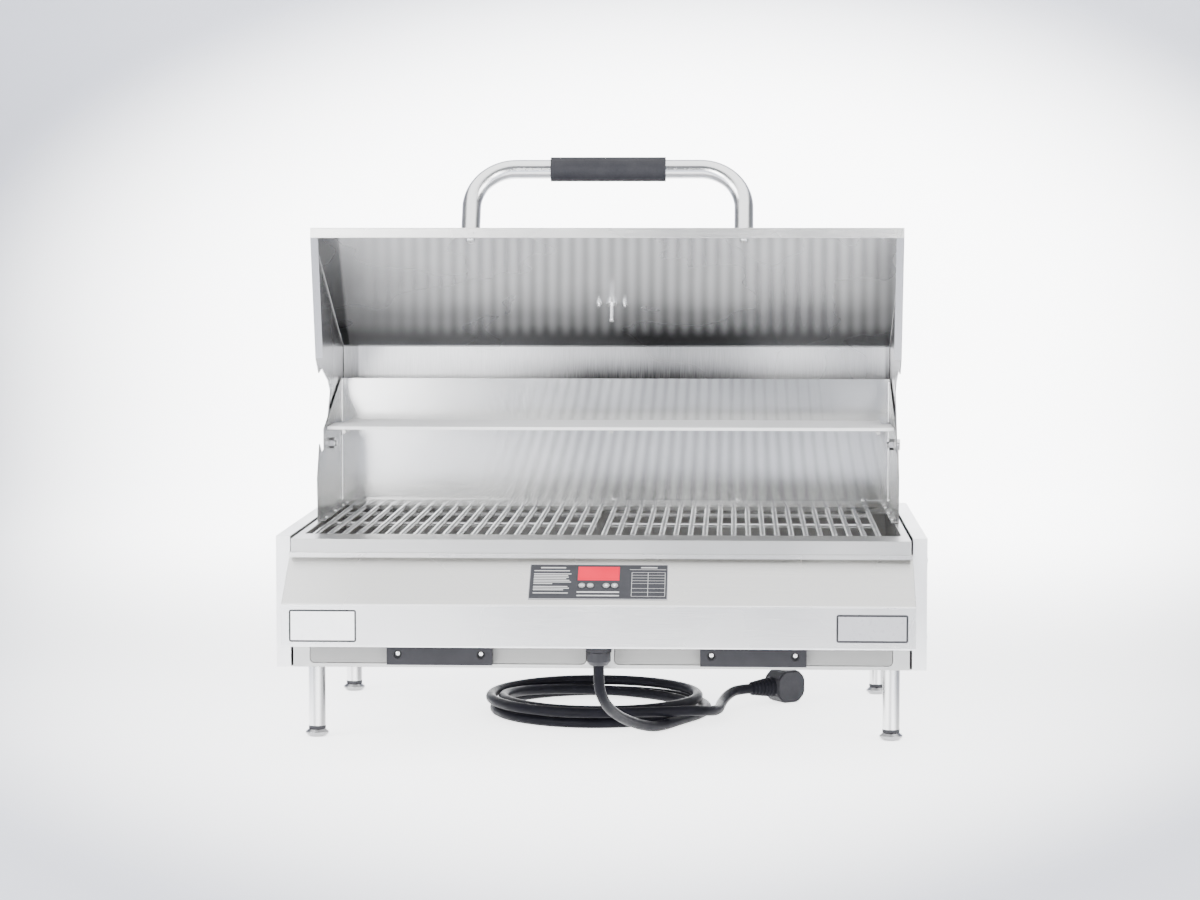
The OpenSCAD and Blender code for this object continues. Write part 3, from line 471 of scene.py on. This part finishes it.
leg_steel = steel("leg_steel", (0.84, 0.84, 0.84), 0.20, 2, painted_shading=leg_streaks)
wear(leg_steel, "leg_front_left", "leg_front_right", "leg_rear_left", "leg_rear_right")
foot_steel = steel("foot_steel", (0.30, 0.30, 0.305), 0.2, 2)
wear(foot_steel, "feet")
rubber, rubber_shader, at = finish("grip_rubber", roughness=0.6, specular_ior_level=0.3)
grain = at.noise(500, 3)
feed(rubber_shader, base_color=at.mottle(40, 3, (0.014, 0.014, 0.018), (0.022, 0.022, 0.026)),
     roughness=grain.spread(0.52, 0.68), normal=grain.bump(0.0003, 0.2))
wear(rubber, "leg_collars")

# Fasteners: polished pan-head screws with a cross slot, and the two bolts that the lid turns on.
# They hold the side panels, the wings and the rear ledge, and stand a little proud of the sheet.
tube_steel = steel("tube_steel", (0.84, 0.84, 0.84), 0.20, 2)
wear(tube_steel, "hinge_bolts")
# Millimetres from the side panels' front back to the middle of the grill
mid_y = 201.1


def screw_head():
    """A domed head of one millimetre across and a third high, its cross slot pressed in."""
    sides, slot_long, slot_short, top_h, slot_h, slot_taper = 16, 0.24, 0.07, 0.33, 0.14, 0.8
    spokes = [(math.cos(2 * math.pi * k / sides), math.sin(2 * math.pi * k / sides)) for k in range(sides)]
    form = bmesh.new()
    rings = ((0.5, 0.0), (0.5, 0.10), (0.44, 0.22), (0.30, 0.31))
    loops = [[form.verts.new((r * c, r * s, h)) for c, s in spokes] for r, h in rings]
    reach = [slot_long if k % 4 == 0 else slot_short for k in range(sides)]
    slot = [form.verts.new((r * c, r * s, top_h)) for r, (c, s) in zip(reach, spokes)]
    deep = [form.verts.new((v.co.x * slot_taper, v.co.y * slot_taper, slot_h)) for v in slot]
    for low, high in zip(loops + [slot], loops[1:] + [slot, deep]):
        for k in range(sides):
            face = form.faces.new((low[k], low[(k + 1) % sides], high[(k + 1) % sides], high[k]))
            face.smooth = high in loops
    form.faces.new(deep)
    form.faces.new(list(reversed(loops[0])))
    mesh = bpy.data.meshes.new("screw_head")
    form.to_mesh(mesh)
    form.free()
    return bpy.data.objects.new("screw_head", mesh)


head = screw_head()
on_points = bpy.data.node_groups.new("heads_on_points", "GeometryNodeTree")
on_points.interface.new_socket("Geometry", in_out="INPUT", socket_type="NodeSocketGeometry")
for title, kind in (("Head", "NodeSocketObject"), ("Finish", "NodeSocketMaterial")):
    on_points.interface.new_socket(title, in_out="INPUT", socket_type=kind)
on_points.interface.new_socket("Geometry", in_out="OUTPUT", socket_type="NodeSocketGeometry")
given, result = on_points.nodes.new("NodeGroupInput"), on_points.nodes.new("NodeGroupOutput")


def tree_node(tree, kind, links, **settings):
    made = tree.nodes.new(kind)
    for key, value in settings.items():
        setattr(made, key, value)
    for key, value in links.items():
        if isinstance(value, bpy.types.NodeSocket):
            tree.links.new(value, made.inputs[key])
        else:
            made.inputs[key].default_value = value
    return made


def attribute(tree, name, kind):
    made = tree_node(tree, "GeometryNodeInputNamedAttribute", {"Name": name}, data_type=kind)
    return made.outputs["Attribute"]


facing, width = attribute(on_points, "facing", "FLOAT_VECTOR"), attribute(on_points, "width", "FLOAT")
turned = tree_node(on_points, "FunctionNodeAlignRotationToVector", {"Vector": facing}, axis="Z")
shape = tree_node(on_points, "GeometryNodeObjectInfo", {"Object": given.outputs["Head"]})
placed = tree_node(on_points, "GeometryNodeInstanceOnPoints", {
    "Points": given.outputs["Geometry"], "Instance": shape.outputs["Geometry"],
    "Rotation": turned.outputs["Rotation"], "Scale": width})
solid = tree_node(on_points, "GeometryNodeRealizeInstances", {"Geometry": placed.outputs["Instances"]})
dressed = tree_node(on_points, "GeometryNodeSetMaterial", {
    "Geometry": solid.outputs["Geometry"], "Material": given.outputs["Finish"]})
on_points.links.new(dressed.outputs["Geometry"], result.inputs["Geometry"])


def plain_mesh(name, source, tree, **inputs):
    """Runs a node tree on a mesh and keeps the result as a plain mesh."""
    maker = bpy.data.objects.new(name + "_points", source)
    bpy.context.scene.collection.objects.link(maker)
    modifier = maker.modifiers.new("make", "NODES")
    modifier.node_group = tree
    for item in tree.interface.items_tree:
        if item.in_out == "INPUT" and item.name in inputs:
            modifier[item.identifier] = inputs[item.name]
    mesh = bpy.data.meshes.new_from_object(maker.evaluated_get(bpy.context.evaluated_depsgraph_get()))
    maker.modifiers.clear()
    bpy.data.objects.remove(maker)
    return mesh


def points_mesh(name, spots, facings, widths):
    """Loose points in metres that know which way their instance looks and how wide it is."""
    points = bpy.data.meshes.new(name)
    points.from_pydata(spots, [], [])
    looks = points.attributes.new("facing", "FLOAT_VECTOR", "POINT")
    looks.data.foreach_set("vector", [c for f in facings for c in f])
    points.attributes.new("width", "FLOAT", "POINT").data.foreach_set("value", widths)
    return points


def screws(name, body, places):
    """Screws at (place in millimetres from the side panels' front, facing, head width)."""
    spots = [(p[0] / 1000, (p[1] - mid_y) / 1000, p[2] / 1000) for p, _, _ in places]
    points = points_mesh(name, spots, [f for _, f, _ in places], [w / 1000 for _, _, w in places])
    return piece(name, plain_mesh(name, points, on_points, Head=head, Finish=screw_steel), body, "bright_metal")


screw_steel = steel("screw_steel", (0.80, 0.80, 0.80), 0.16, 2, 0.00002)
panel_head, small_head = 7, 6.4
side_x, wing_x, rear_pitch = 406.5, 376, 173
places = [((s * side_x, y, z), (s, 0, 0), panel_head) for s in (-1, 1) for y in (25, 455) for z in (139, 236)]
places += [((s * wing_x, 440 - y, 265.5), (0, 0, 1), small_head) for s in (-1, 1) for y in (200, 110, 30)]
places += [((i * rear_pitch, 435, 273), (0, 0, 1), small_head) for i in range(-2, 3)]
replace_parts(screws("panel_screw_heads", "body", places), "panel_screws")

# Grates: two rod grates in bright round bar, each a row of rods welded to three cross rods.
# They lie loose on the rests inside the firebox and lift out.
rod_steel = steel("rod_steel", (0.72, 0.72, 0.72), 0.20, 1)
wear(rod_steel, "grate_left", "grate_right")

# Grease trays: two matt pressed trays that slide out to the front on the base pan's runners.
# Each has a moulded handle, held by two screws through the tray's front.
tray_steel = steel("tray_steel", (0.23, 0.23, 0.225), 0.46, 0, 0.0001)
wear(tray_steel, "tray_left", "tray_right")
handle_hole, handle_front, handle_z = 52, -16, 121.1
for word, handle_x in (("left", -200), ("right", 191)):
    places = [((handle_x + s * handle_hole, handle_front, handle_z), (0, -1, 0), small_head) for s in (-1, 1)]
    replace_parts(screws("tray_screw_heads_" + word, word + "_tray", places), "tray_screws_" + word)

# Lid: a bent sheet welded between two side plates, with a heavier bar rolled on its front edge.
# It turns on the hinge bolts; its inner skin carries painted reflected bands of the rods and painted shading,
# like the rear wall's.
lid_front, lid_crease, lid_back = (170, 650), (487, 484), 0.28
lid_run = (lid_crease[0] - lid_front[0], lid_crease[1] - lid_front[1])
fan_y, fan_reach = -3.971, 4.1


def lid_ray(x, y):
    """Sideways place on the fan of lines that run to the front."""
    return (x - fan_x) / (y - fan_y)


def lid_shade(x, y, z):
    """Painted reflections and shading: the side plates mirrored in the top sheet, its dark crease, a darker
    middle and the darker foot of the back sheet.
    """
    ray, lean = lid_ray(x, y), (0.650 - z) * 0.020
    mirrored = (ray - lean).ramp(-0.1315, -0.1300, 1.0, 0.0) + (ray + lean).ramp(0.0540, 0.0555)
    back = y > lid_back
    strips = ray.ramp(-0.1247, -0.1237, 0.34, 0.0) + ray.ramp(0.0487, 0.0497, 0.0, 0.34)
    low = z.ramp(0.440, 0.476, 1.0, 0.0) * x.ramp(-0.28, -0.05, 0.18, 0.36) + strips
    middle = abs(x - 0.03).ramp(0.04, 0.22, 0.22, 0.0)
    top = mirrored * 0.42 + z.ramp(0.500, 0.640, 0.26, 0.08) + z.ramp(0.494, 0.522, 0.40, 0.0)
    return 0.78 - middle * 0.5 - (1 - back) * top + back * (0.06 - low - middle * 1.5)


def lid_inner(y, z):
    """The inner skin of the bent sheet, which sees the rods."""
    return ((y + 0.0311) * 0.46391 + (z - 0.650) * 0.88588 < -0.0007) * (y < 0.2852) * (z > 0.29)


lid_steel = rolled("lid_steel", (0.95, 0.95, 0.955), 0.27, lambda x, y, z: lid_ray(x, y) * fan_reach,
                   -0.30, 0.13, lid_shade, lid_inner,
                   lambda y, z: (y < lid_back) * z.ramp(0.494, 0.514), 0.7)
wear(lid_steel, "lid_shell")
lid_side_steel = steel("lid_side_steel", (0.45, 0.45, 0.46), 0.28, 2, 0.00003)
wear(lid_side_steel, "lid_side_left", "lid_side_right")
rim_steel = steel("rim_steel", (0.74, 0.735, 0.72), 0.26, edge=0.0018)
wear(rim_steel, "lid_rim")
weld = steel("weld_bead", (0.92, 0.92, 0.92), 0.2, 0, 0.00002)


def bead(lines, radius=0.0008):
    """Thin round beads along lines of points in millimetres, as one mesh."""
    curve = bpy.data.curves.new("bead", "CURVE")
    curve.dimensions = "3D"
    curve.bevel_depth, curve.bevel_resolution, curve.use_fill_caps = radius, 2, True
    for points in lines:
        spline = curve.splines.new("POLY")
        spline.points.add(len(points) - 1)
        for knot, (x, y, z) in zip(spline.points, points):
            knot.co = (x / 1000, (y - mid_y) / 1000, z / 1000, 1)
    maker = bpy.data.objects.new("bead", curve)
    bpy.context.scene.collection.objects.link(maker)
    mesh = bpy.data.meshes.new_from_object(maker.evaluated_get(bpy.context.evaluated_depsgraph_get()))
    bpy.data.objects.remove(maker)
    return mesh


lid_corner = [(176, 644.5), (484.6, 483), (484.6, 274)]
lid_seam_x, wing_seam_x, wing_seam_y, wing_seam_z = 382.4, 379.4, 439.4, (268, 438)
lid_lines = [[(s * lid_seam_x, *p) for p in lid_corner] for s in (-1, 1)]
piece("lid_seams", bead(lid_lines), "lid", "polished_steel", weld)
wing_lines = [[(s * wing_seam_x, wing_seam_y, z) for z in wing_seam_z] for s in (-1, 1)]
piece("wing_seams", bead(wing_lines), "body", "polished_steel", weld)

# Lid handle: a bent chrome tube with a rubber grip pushed on its middle.
# A screw through the lid's sheet holds each of its two posts.
wear(tube_steel, "handle_tube")
post_x, post_inset, sheet, post_head = 178, 0.030, 0.0015, 12
lid_frame = Matrix.Translation((0, (lid_front[0] - mid_y) / 1000, lid_front[1] / 1000))
lid_frame = lid_frame @ Matrix.Rotation(math.atan2(lid_run[1], lid_run[0]), 4, "X")
inward = lid_frame.to_3x3() @ Vector((0, 0, -1))
post_foot = lid_frame @ Vector((0, post_inset, -sheet)) * 1000 + Vector((0, mid_y, 0))
places = [((s * post_x, post_foot.y, post_foot.z), tuple(inward), post_head) for s in (-1, 1)]
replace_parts(screws("handle_screw_heads", "lid", places), "handle_screws")
wear(rubber, "handle_grip")

# Lid thermometer: a spun steel case with a white dial behind glass, bolted through the lid by its stem.
# The scale runs round three quarters of the dial in plain numbers, and the needle turns on the stem.
wear(tube_steel, "gauge_case", "gauge_nuts")
dial_at = lid_frame @ Matrix.Translation((0, 0.215, 0.009))
dial_r, dial_t, tick_r, number_r, number_h = 0.0316, 0.0002, 0.0300, 0.0205, 0.0054
divisions, sweep_deg, numbered = 30, 270, 5
tick_long, tick_short = 0.005, 0.003
dial_paper, dial_shader, at = finish("dial_paper", roughness=0.5)
feed(dial_shader, base_color=at.mottle(120, 2, (0.84, 0.84, 0.82), (0.90, 0.90, 0.88)))
dial_ink, ink_shader, at = finish("dial_ink", roughness=0.5)
feed(ink_shader, base_color=at.mottle(300, 2, (0.010, 0.010, 0.012), (0.02, 0.02, 0.022)))
form = bmesh.new()
bmesh.ops.create_cone(form, cap_ends=True, segments=64, radius1=dial_r, radius2=dial_r - dial_t, depth=dial_t)
dial = bpy.data.meshes.new("gauge_dial")
form.to_mesh(dial)
form.free()
dial.transform(dial_at)
piece("gauge_dial", dial, "lid", "plate_film", dial_paper)
bar = 0.08
tick_bar = bpy.data.meshes.new("tick_bar")
tick_bar.from_pydata([(x, y, z) for x in (-bar, bar) for y in (-bar, bar) for z in (-1.0, 0.0)], [], [
    (0, 1, 3, 2), (4, 6, 7, 5), (0, 4, 5, 1), (2, 3, 7, 6), (0, 2, 6, 4), (1, 5, 7, 3)])
tick = bpy.data.objects.new("tick_bar", tick_bar)
spokes = [math.radians(90 - sweep_deg * k / divisions) for k in range(divisions + 1)]
rays = [Vector((math.cos(a), math.sin(a), 0)) for a in spokes]
lengths = [tick_short if k % numbered else tick_long for k in range(divisions + 1)]
ticks = points_mesh("gauge_ticks", [dial_at @ (tick_r * ray) for ray in rays],
                    [dial_at.to_3x3() @ ray for ray in rays], lengths)
ticks = plain_mesh("gauge_ticks", ticks, on_points, Head=tick, Finish=dial_ink)
piece("gauge_ticks", ticks, "lid", "plate_film")
form = bmesh.new()
for k in range(0, divisions + 1, numbered):
    number = lettering(str(100 + 100 * k // numbered), number_h)
    number.transform(dial_at @ Matrix.Translation(number_r * rays[k] + Vector((0, 0, legend_t))))
    form.from_mesh(number)
numbers = bpy.data.meshes.new("gauge_numbers")
form.to_mesh(numbers)
form.free()
piece("gauge_numbers", numbers, "lid", "plate_film", dial_ink)
needle_paint, needle_shader, at = finish("needle_paint", roughness=0.3)
feed(needle_shader, base_color=at.mottle(200, 2, (0.50, 0.03, 0.03), (0.60, 0.05, 0.05)))
wear(needle_paint, "gauge_needle")
clear, clear_shader, at = finish("gauge_glass", transmission_weight=1.0, ior=1.45)
feed(clear_shader, roughness=at.noise(40, 2).spread(0.0, 0.03))
wear(clear, "gauge_glass")

# Mains cord: a rubber-jacketed lead hangs from the gland, runs under the grill and lies in a coil.
# One unbroken length, wound inwards on the table, then outwards on top, to its plug.
cord_r, straight, run_in = 6.8, 14, 46
gland_low, gland_y = 119.1, -45
coil_mid, coil_out, coil_step, coil_low, layer_h = (-16, 285), 148, 17, 7, 15.5
coil_from, coil_to, coil_steps = -27, 1000, 205
coil_turn = (coil_from + coil_to) / 2
plug_at, plug_turn = Vector((190, 352, 22.5)), math.radians(35)
plug_dir = Vector((math.cos(plug_turn), math.sin(plug_turn), 0))


def coil_point(a):
    """A point of the coil: inwards on the table, then up by one layer and outwards."""
    u = min(1, max(0, (a - coil_turn) / 180 + 0.5))
    r = coil_out - coil_step * (min(a, 2 * coil_turn - a) - coil_from) / 360
    turn = Vector((math.cos(math.radians(a)), math.sin(math.radians(a)), 0))
    return Vector((*coil_mid, coil_low + layer_h * u * u * (3 - 2 * u))) + r * turn


def along(points, steps):
    """Smooth line through route points."""
    found = []
    for i in range(len(points) - 1):
        a, b = points[max(i - 1, 0)], points[i]
        c, d = points[i + 1], points[min(i + 2, len(points) - 1)]
        for k in range(steps):
            u = k / steps
            bend = (2 * a - 5 * b + 4 * c - d) * u * u + (3 * b - a - 3 * c + d) * u ** 3
            found.append(0.5 * (2 * b + (c - a) * u + bend))
    return found + [points[-1]]


def coil_dir(a):
    return Vector((-math.sin(math.radians(a)), math.cos(math.radians(a)), 0))


coil_start, coil_end = coil_point(coil_from), coil_point(coil_to)
lead_route = [Vector(p) for p in (
    (0, gland_y, gland_low), (0, gland_y, gland_low - straight), (1, -42, 84), (4, -34, 71), (9, -18, 58),
    (16, 4, 46), (25, 30, 35), (36, 58, 25), (49, 86, 16), (63, 113, 9.5), (78, 142, 7))]
lead_route += [coil_start - back * coil_dir(coil_from) for back in (run_in, straight, 0)]
tail_route = [coil_end, coil_end + straight * coil_dir(coil_to)] + [Vector(p) for p in (
    (52, 147, 22.5), (80, 153, 22.5), (106, 164, 22), (127, 180, 19.5), (141, 204, 16), (147, 232, 14),
    (149, 260, 13.5), (152, 288, 15), (158, 313, 18.5), (167, 333, 21.5))]
tail_route += [plug_at - straight * plug_dir, plug_at]
route = along(lead_route, 6)[:-1]
route += [coil_point(coil_from + (coil_to - coil_from) * i / coil_steps) for i in range(coil_steps)]
route += along(tail_route, 6)
route = [(p - Vector((0, mid_y, 0))) / 1000 for p in route]
cord_curve = bpy.data.curves.new("mains_cord", "CURVE")
cord_curve.dimensions = "3D"
cord_curve.bevel_depth, cord_curve.bevel_resolution = cord_r / 1000, 5
line = cord_curve.splines.new("POLY")
line.points.add(len(route) - 1)
for point, place in zip(line.points, route):
    point.co = (*place, 1)
line.use_smooth = True
cord = bpy.data.objects.new("mains_cord", cord_curve)
bpy.context.scene.collection.objects.link(cord)
jacket, jacket_shader, at = finish("cord_jacket", roughness=0.42, specular_ior_level=0.07)
dust = at.noise(60, 4)
feed(jacket_shader, base_color=dust.spread(0, 1).mix((0.003, 0.003, 0.005, 1), (0.005, 0.005, 0.008, 1)),
     roughness=dust.spread(0.36, 0.5))
cord_curve.materials.append(jacket)
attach(cord, "body")
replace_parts(cord, "cord_lead", "cord_coil", "cord_tail")

# Plug: a moulded rubber plug with a ribbed neck, moulded on the cord's end round three blades.
# Its thick body has cut corners, rounded edges and a shallow dish in each flat.
neck_l, neck_r, ribs, rib_pitch, rib_l, rib_edge, groove_d = 34, (9, 14), 6, 5.2, 3.0, 0.7, 1.1
plug_w, plug_h, plug_t, plug_cut, turns = 46, 44, 34, 11, 32
dish_in, dish_deep, plug_round = 0.005, 0.0009, 0.0022
plug_frame = Matrix.Translation((plug_at - Vector((0, mid_y, 0))) / 1000) @ Matrix.Rotation(plug_turn, 4, "Z")
profile = [(0.0, cord_r)]
for k in range(ribs):
    start = 1.0 + k * rib_pitch
    rib_end = start + rib_l
    for x, cut in ((start, groove_d), (start + rib_edge, 0), (rib_end, 0), (rib_end + rib_edge, groove_d)):
        profile.append((x, neck_r[0] + (neck_r[1] - neck_r[0]) * x / neck_l - cut))
profile.append((neck_l, neck_r[1]))
form = bmesh.new()
outline = [(plug_cut, 0), (plug_w - plug_cut, 0), (plug_w, plug_cut), (plug_w, plug_h - plug_cut),
           (plug_w - plug_cut, plug_h), (plug_cut, plug_h), (0, plug_h - plug_cut), (0, plug_cut)]
shoulder = [form.verts.new(((neck_l + x) / 1000, -plug_t / 2000, (z - plug_h / 2) / 1000)) for x, z in outline]
grown = bmesh.ops.extrude_face_region(form, geom=[form.faces.new(shoulder)])["geom"]
moved = [v for v in grown if isinstance(v, bmesh.types.BMVert)]
bmesh.ops.translate(form, verts=moved, vec=(0, plug_t / 1000, 0))
bmesh.ops.recalc_face_normals(form, faces=form.faces)
flats = [f for f in form.faces if len(f.verts) == len(outline)]
bmesh.ops.inset_individual(form, faces=flats, thickness=dish_in, depth=-dish_deep)
bmesh.ops.bevel(form, geom=form.edges[:], offset=plug_round, offset_type="OFFSET", segments=3, affect="EDGES",
                clamp_overlap=True)
for face in form.faces:
    face.material_index = 1
spokes = [(math.cos(2 * math.pi * k / turns), math.sin(2 * math.pi * k / turns)) for k in range(turns)]
rings = [[form.verts.new((x / 1000, r * c / 1000, r * s / 1000)) for c, s in spokes] for x, r in profile]
for low, high in zip(rings, rings[1:]):
    for k in range(turns):
        form.faces.new((low[k], low[(k + 1) % turns], high[(k + 1) % turns], high[k]))
form.faces.new(rings[0])
form.faces.new(rings[-1])
bmesh.ops.recalc_face_normals(form, faces=form.faces)
for face in form.faces:
    face.smooth = True
moulding = bpy.data.meshes.new("moulded_plug")
form.to_mesh(moulding)
form.free()
moulding.transform(plug_frame)
moulding.set_sharp_from_angle(angle=math.radians(40))
plug_rubber, plug_shader, at = finish("plug_rubber", roughness=0.55, specular_ior_level=0.25)
grain = at.noise(700, 2)
feed(plug_shader, base_color=at.mottle(50, 3, (0.010, 0.010, 0.013), (0.016, 0.016, 0.020)),
     roughness=grain.spread(0.48, 0.62), normal=grain.bump(0.0002, 0.2))
plug = piece("moulded_plug", moulding, "body", "cord_rubber", jacket, plug_rubber)
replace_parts(plug, "plug_body")
wear(screw_steel, "plug_blades")
cord_length = sum((b - a).length for a, b in zip(route, route[1:]))
